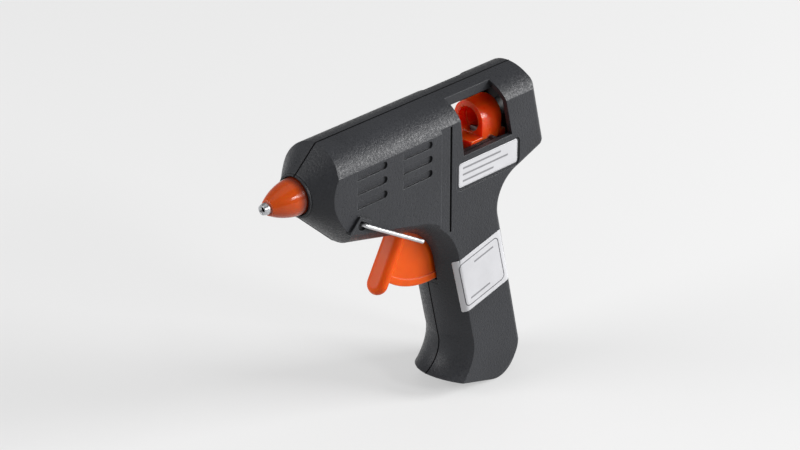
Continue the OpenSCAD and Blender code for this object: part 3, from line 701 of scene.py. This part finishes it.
def mating_edges(mesh):
    """Edges round the mating face of the left half, each with the way into the wall."""
    edges = {}
    for face in mesh.polygons:
        corners = [tuple(round(c, 6) for c in mesh.vertices[i].co) for i in face.vertices]
        if all(abs(corner[1]) < SEAM_REACH for corner in corners):
            for ends in zip(corners, corners[1:] + corners[:1]):
                if edges.pop(ends[::-1], None) is None:
                    way = (Vector(ends[1]) - Vector(ends[0])).normalized()
                    edges[ends] = Vector((way.z, 0, -way.x))
    return edges


def outline_edges(node):
    """The mating edges on the outline: just outside them, nothing of the half lies to the left."""
    hull = outside(node)
    kept = {}
    for ends, inward in mating_edges(nodes[node].data).items():
        first, last = [Vector(end) - inward * OUTLINE_STEP for end in ends]
        spots = [first.lerp(last, share) for share in OUTLINE_SHARES]
        if all(hull.ray_cast(spot, LEFT)[0] is None for spot in spots):
            kept[ends] = inward
    return kept


def bead_tree(material):
    """Geometry nodes of a round bead along the edges of a mesh."""
    tree, given = shape_tree("parting_bead", {"Path": "Geometry", "Radius": "Float"})
    curve = add(tree, "GeometryNodeMeshToCurve", {0: given["Path"]}).outputs[0]
    end_in_wire(tree, curve, given["Radius"], BEAD_SIDES, material)
    return tree


def parting_bead(look):
    """A fine near-black bead where the two halves meet, painted shade of the groove between them, sunk so
    that only its crest shows.
    """
    edges = outline_edges("left_shell")
    inward = {}
    for ends, way in edges.items():
        for point in ends:
            inward[point] = inward.get(point, Vector()) + way
    order = {point: i for i, point in enumerate(inward)}
    sunk = [Vector(point) + way.normalized() * (look.bead - look.proud) for point, way in inward.items()]
    path = bpy.data.meshes.new("parting_path")
    path.from_pydata(sunk, [(order[a], order[b]) for a, b in edges], [])
    dark = plain_finish("parting_black", PAINTED_SHADE_BLACK, roughness=0.8, grain_size=0.6 * MM, gloss=0.05)
    return grown("parting_bead", bead_tree(dark), {"Radius": look.bead}, path)


# Spring


def spring_tree(material):
    """Geometry nodes of a coil along X with straight ends, from named sizes."""
    tree, sizes = shape_tree("return_spring_coil", {
        "Length": "Float", "Coil radius": "Float", "Wire radius": "Float", "Turns": "Float", "End": "Float",
        "Steps": "Int", "Sides": "Int", "Start": "Vector"})
    line = add(tree, "GeometryNodeCurvePrimitiveLine").outputs[0]
    dense = add(tree, "GeometryNodeResampleCurve", {"Curve": line, "Count": sizes["Steps"]}).outputs[0]
    share = add(tree, "GeometryNodeSplineParameter").outputs["Factor"]
    end = maths(tree, "DIVIDE", sizes["End"], sizes["Length"])
    far_end = maths(tree, "SUBTRACT", 1.0, end)
    wound = add(tree, "ShaderNodeMapRange", {0: share, 1: end, 2: far_end, 3: 0.0, 4: 1.0}).outputs[0]
    winding = maths(tree, "MULTIPLY", maths(tree, "MULTIPLY", wound, sizes["Turns"]), 2 * math.pi)
    place = add(tree, "ShaderNodeCombineXYZ", {
        0: maths(tree, "MULTIPLY", share, sizes["Length"]),
        1: maths(tree, "MULTIPLY", maths(tree, "COSINE", winding), sizes["Coil radius"]),
        2: maths(tree, "MULTIPLY", maths(tree, "SINE", winding), sizes["Coil radius"])}).outputs[0]
    coil = add(tree, "GeometryNodeSetPosition", {"Geometry": dense, "Position": place,
                                                 "Offset": sizes["Start"]}).outputs[0]
    end_in_wire(tree, coil, sizes["Wire radius"], sizes["Sides"], material)
    return tree


# Operators


class GLUEGUN_OT_housing(bpy.types.Operator):
    """Finish the two shells, their parting line, their screws and the stick guide"""

    bl_idname = "gluegun.housing"
    bl_label = "Housing"

    def execute(self, context):
        """Coat the nodes of the housing and add its thin pieces."""
        look, metal = context.scene.gluegun_housing, context.scene.gluegun_metal
        shell = shell_finish(look)
        coat(shell, "left_shell", "right_shell")
        lip = slot_lip(look)
        left = heel_corner("left_heel_corner", -1, look)
        right = heel_corner("right_heel_corner", 1, look)
        for piece in (lip, left, right):
            piece.data.materials.append(shell)
        for piece in (lip, left, right, parting_bead(look)):
            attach(piece, "housing")
        guide = plain_finish("guide_plastic", linear(24, 24, 25), roughness=0.6, grain_size=0.5 * MM)
        coat(guide, "stick_guide")
        screws = metal_finish("plated_screws", metal.bright, roughness=0.3, grain_size=0.4 * MM)
        coat(screws, "housing_screws")
        return {"FINISHED"}


class GLUEGUN_OT_nose(bpy.types.Operator):
    """Finish the nozzle and its cover"""

    bl_idname = "gluegun.nose"
    bl_label = "Nozzle and cover"

    def execute(self, context):
        """Coat the nodes of the nose."""
        look = context.scene.gluegun_orange
        coat(turned_finish("turned_nozzle", context.scene.gluegun_metal), "nozzle")
        # Painted shade on the cover next to the nose
        root = (nozzle_tip_x + look.root_shade_start, nozzle_tip_x + look.root_shade_end, look.root)
        cover = orange_finish("cover_orange", look.cover, look.edge, roughness=0.17, gloss=0.35, glow=0.1,
                              root=root)
        coat(cover, "nozzle_cover")
        return {"FINISHED"}


class GLUEGUN_OT_heater(bpy.types.Operator):
    """Finish the heater inside the barrel"""

    bl_idname = "gluegun.heater"
    bl_label = "Heater"

    def execute(self, context):
        """Coat the nodes of the heater."""
        metal = context.scene.gluegun_metal
        resin = plain_finish("brown_resin", linear(110, 72, 48), roughness=0.6, grain_size=0.5 * MM)
        brass = metal_finish("contact_brass", metal.brass, roughness=0.3, grain_size=0.4 * MM)
        steel = metal_finish("spring_steel", metal.bright, roughness=0.28, grain_size=0.4 * MM)
        cast = metal_finish("cast_aluminium", metal.cast, roughness=0.5, grain_size=0.5 * MM,
                            grain_depth=0.03 * MM)
        ceramic = plain_finish("fired_ceramic", linear(90, 90, 96), roughness=0.7, grain_size=0.3 * MM)
        film = plain_finish("amber_film", linear(206, 140, 40), roughness=0.3, grain_size=2 * MM)
        silicone = plain_finish("white_silicone", linear(220, 214, 204), roughness=0.5, grain_size=0.6 * MM)
        coat(cast, "melt_chamber")
        coat(resin, "front_collar", "rear_collar")
        coat(brass, "upper_electrode", "lower_electrode")
        coat(steel, "heater_clip", "sleeve_clip")
        coat(ceramic, "ptc_heater")
        coat(film, "heater_film")
        coat(silicone, "stick_sleeve")
        return {"FINISHED"}


class GLUEGUN_OT_feed(bpy.types.Operator):
    """Finish the trigger and the feed that it drives"""

    bl_idname = "gluegun.feed"
    bl_label = "Trigger and feed"

    def execute(self, context):
        """Coat the nodes of the feed."""
        orange, metal = context.scene.gluegun_orange, context.scene.gluegun_metal
        trigger = orange_finish("trigger_orange", orange.trigger, orange.edge, roughness=0.4, gloss=0.2,
                                glow=0.4)
        carriage = orange_finish("carriage_orange", orange.carriage, orange.edge, roughness=0.3, gloss=0.4,
                                 glow=1.0)
        black = metal_finish("blackened_steel", metal.black, roughness=0.5, grain_size=0.4 * MM, metallic=0.4)
        steel = metal_finish("jaw_steel", metal.jaw, roughness=0.45, grain_size=0.4 * MM)
        coat(trigger, "trigger")
        coat(carriage, "feed_carriage")
        coat(black, "left_link", "right_link", "link_pins")
        coat(steel, "grip_jaw", "jaw_pin")
        return {"FINISHED"}


class GLUEGUN_OT_spring(bpy.types.Operator):
    """Wind the return spring between its post and the carriage"""

    bl_idname = "gluegun.spring"
    bl_label = "Return spring"

    def execute(self, context):
        """Grow the coil in the space of its CAD solid and let it ride on the housing."""
        look, metal = context.scene.gluegun_spring, context.scene.gluegun_metal
        low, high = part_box("return_spring")
        steel = metal_finish("spring_wire", metal.bright, roughness=0.25, grain_size=0.3 * MM)
        start = Vector((low.x, 0, (low.z + high.z) / 2))
        spring = grown("wound_return_spring", spring_tree(steel), {
            "Length": high.x - low.x, "Coil radius": (high.z - low.z) / 2 - look.wire,
            "Wire radius": look.wire, "Turns": look.turns, "End": 2 * look.wire,
            "Steps": look.steps, "Sides": look.sides, "Start": start})
        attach(spring, "housing")
        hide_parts("return_spring")
        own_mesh(spring)
        return {"FINISHED"}


class GLUEGUN_OT_stand(bpy.types.Operator):
    """Finish the wire stand"""

    bl_idname = "gluegun.stand"
    bl_label = "Wire stand"

    def execute(self, context):
        """Coat the stand."""
        metal = context.scene.gluegun_metal
        wire = metal_finish("plated_wire", metal.wire, roughness=0.42, grain_size=2 * MM,
                            grain_depth=0.002 * MM, edge=0)
        coat(wire, "wire_stand")
        return {"FINISHED"}


class GLUEGUN_OT_stickers(bpy.types.Operator):
    """Lay the two bare stickers on the left shell"""

    bl_idname = "gluegun.stickers"
    bl_label = "Stickers"

    def execute(self, context):
        """Make both stickers and let them ride on the housing."""
        look = context.scene.gluegun_stickers
        size = (look.plate_width, look.plate_height)
        rating = sticker("rating_sticker", (look.plate_x, look.plate_z), size, look.plate_corner,
                         look.thickness)
        rating.data.materials.append(sticker_finish("rating_film", look, size, corner=look.plate_corner,
                                                    inset=0.4 * MM, line=0.04 * MM, rules=RATING_RULES))
        size = (look.grip_width, look.grip_height)
        grip = sticker("grip_sticker", (look.grip_x, look.grip_z), size, look.grip_corner, look.thickness,
                       turn=look.rake, lean=look.lean)
        grip.data.materials.append(sticker_finish("grip_film", look, size, corner=2 * MM, inset=2.2 * MM,
                                                  line=0.3 * MM, rules=GRIP_RULES))
        for piece in (rating, grip):
            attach(piece, "housing")
        return {"FINISHED"}


# The way to each lamp from the part, its distance and its size in metres
LAMPS = {
    "key": ((0.7, -0.64, 0.32), 2.0, 0.9),
    "side": ((-0.8, 0.45, 0.4), 2.0, 1.2),
    "glint": ((0.17, -0.88, 0.44), 2.0, 0.4),
    "top": ((0, 0.1, 1), 2.5, 2.0),
}
# The floor lies this far below the part, and its tone changes over this many metres
FLOOR_GAP = 0.2 * MM
FLOOR_BLOTCH = 0.4
# The camera sees what lies between these distances in metres
NEAREST, FURTHEST = 0.05, 40


class GLUEGUN_OT_stage(bpy.types.Operator):
    """Set up the camera, the light and the floor"""

    bl_idname = "gluegun.stage"
    bl_label = "Stage"

    def execute(self, context):
        """Make the studio."""
        scene, look = context.scene, context.scene.gluegun_stage
        scene.view_settings.view_transform = "Standard"
        target = Vector(look.target) + Vector((nozzle_tip_x, 0, 0))
        self.floor(look)
        self.camera(scene, look, target)
        for name, (way, distance, size) in LAMPS.items():
            self.lamp(name + "_light", target, Vector(way).normalized(), distance, size, getattr(look, name))
        scene.world = bpy.data.worlds.new("even_light")
        scene.world.use_nodes = True
        even = scene.world.node_tree.nodes["Background"].inputs
        even["Color"].default_value = (1, 1, 1, 1)
        even["Strength"].default_value = look.ambient
        return {"FINISHED"}

    def floor(self, look):
        """A large pale floor at the lowest point of the part."""
        material, tree, shader, where = finish("pale_floor", roughness=0.9)
        tone = mixed(tree, noise(tree, where, FLOOR_BLOTCH), dimmed(look.floor, 0.985), look.floor)
        path = add(tree, "ShaderNodeLightPath").outputs
        seen = maths(tree, "MAXIMUM", path["Is Camera Ray"], path["Is Glossy Ray"])
        seen = maths(tree, "MAXIMUM", seen, path["Is Transmission Ray"])
        tree.links.new(mixed(tree, seen, look.bounce, tone), shader.inputs["Base Color"])
        tree.links.new(tone, shader.inputs["Emission Color"])
        tree.links.new(maths(tree, "MULTIPLY", seen, look.glow), shader.inputs["Emission Strength"])
        mesh = bpy.data.meshes.new("floor")
        corners = [(x * look.reach, y * look.reach, cad_low.z - FLOOR_GAP)
                   for x, y in ((-1, -1), (1, -1), (1, 1), (-1, 1))]
        mesh.from_pydata(corners, [], [(0, 1, 2, 3)])
        mesh.materials.append(material)
        linked("floor", mesh)

    def camera(self, scene, look, target):
        """A camera at the photograph's angle."""
        data = bpy.data.cameras.new("camera")
        data.lens = data.sensor_width * look.focal_px / look.image_width
        data.clip_start, data.clip_end = NEAREST, FURTHEST
        camera = linked("camera", data)
        flat, up = math.cos(look.elevation), math.sin(look.elevation)
        back = Vector((math.sin(look.azimuth) * flat, -math.cos(look.azimuth) * flat, up))
        camera.location = target + back * look.distance
        camera.rotation_euler = (-back).to_track_quat("-Z", "Y").to_euler()
        scene.camera = camera

    def lamp(self, name, target, way, distance, size, watts):
        """A square soft light that faces the part."""
        data = bpy.data.lights.new(name, "AREA")
        data.size = size
        data.energy = watts
        lamp = linked(name, data)
        lamp.location = target + way * distance
        lamp.rotation_euler = (-way).to_track_quat("-Z", "Y").to_euler()


class GLUEGUN_PT_looks(bpy.types.Panel):
    """Buttons of the glue gun's looks"""

    bl_idname = "GLUEGUN_PT_looks"
    bl_label = "Glue gun"
    bl_space_type = "VIEW_3D"
    bl_region_type = "UI"
    bl_category = "Glue gun"

    def draw(self, context):
        """List the operators in order."""
        for operator in OPERATORS:
            self.layout.operator(operator.bl_idname)


LOOKS = {"gluegun_housing": HousingLook, "gluegun_orange": OrangeLook, "gluegun_metal": MetalLook,
         "gluegun_stickers": StickerLook, "gluegun_spring": SpringLook, "gluegun_stage": StageLook}
OPERATORS = (GLUEGUN_OT_housing, GLUEGUN_OT_nose, GLUEGUN_OT_heater, GLUEGUN_OT_feed, GLUEGUN_OT_spring,
             GLUEGUN_OT_stand, GLUEGUN_OT_stickers, GLUEGUN_OT_stage)


def register():
    """Register the settings, the operators and the panel."""
    for name, look in LOOKS.items():
        bpy.utils.register_class(look)
        setattr(bpy.types.Scene, name, PointerProperty(type=look))
    for made in (*OPERATORS, GLUEGUN_PT_looks):
        bpy.utils.register_class(made)


def unregister():
    """Take everything out again."""
    for made in (GLUEGUN_PT_looks, *reversed(OPERATORS)):
        bpy.utils.unregister_class(made)
    for name, look in LOOKS.items():
        delattr(bpy.types.Scene, name)
        bpy.utils.unregister_class(look)


def main():
    """Dress the part."""
    register()
    for operator in OPERATORS:
        group, name = operator.bl_idname.split(".")
        getattr(getattr(bpy.ops, group), name)()


if __name__ == "__main__":
    main()
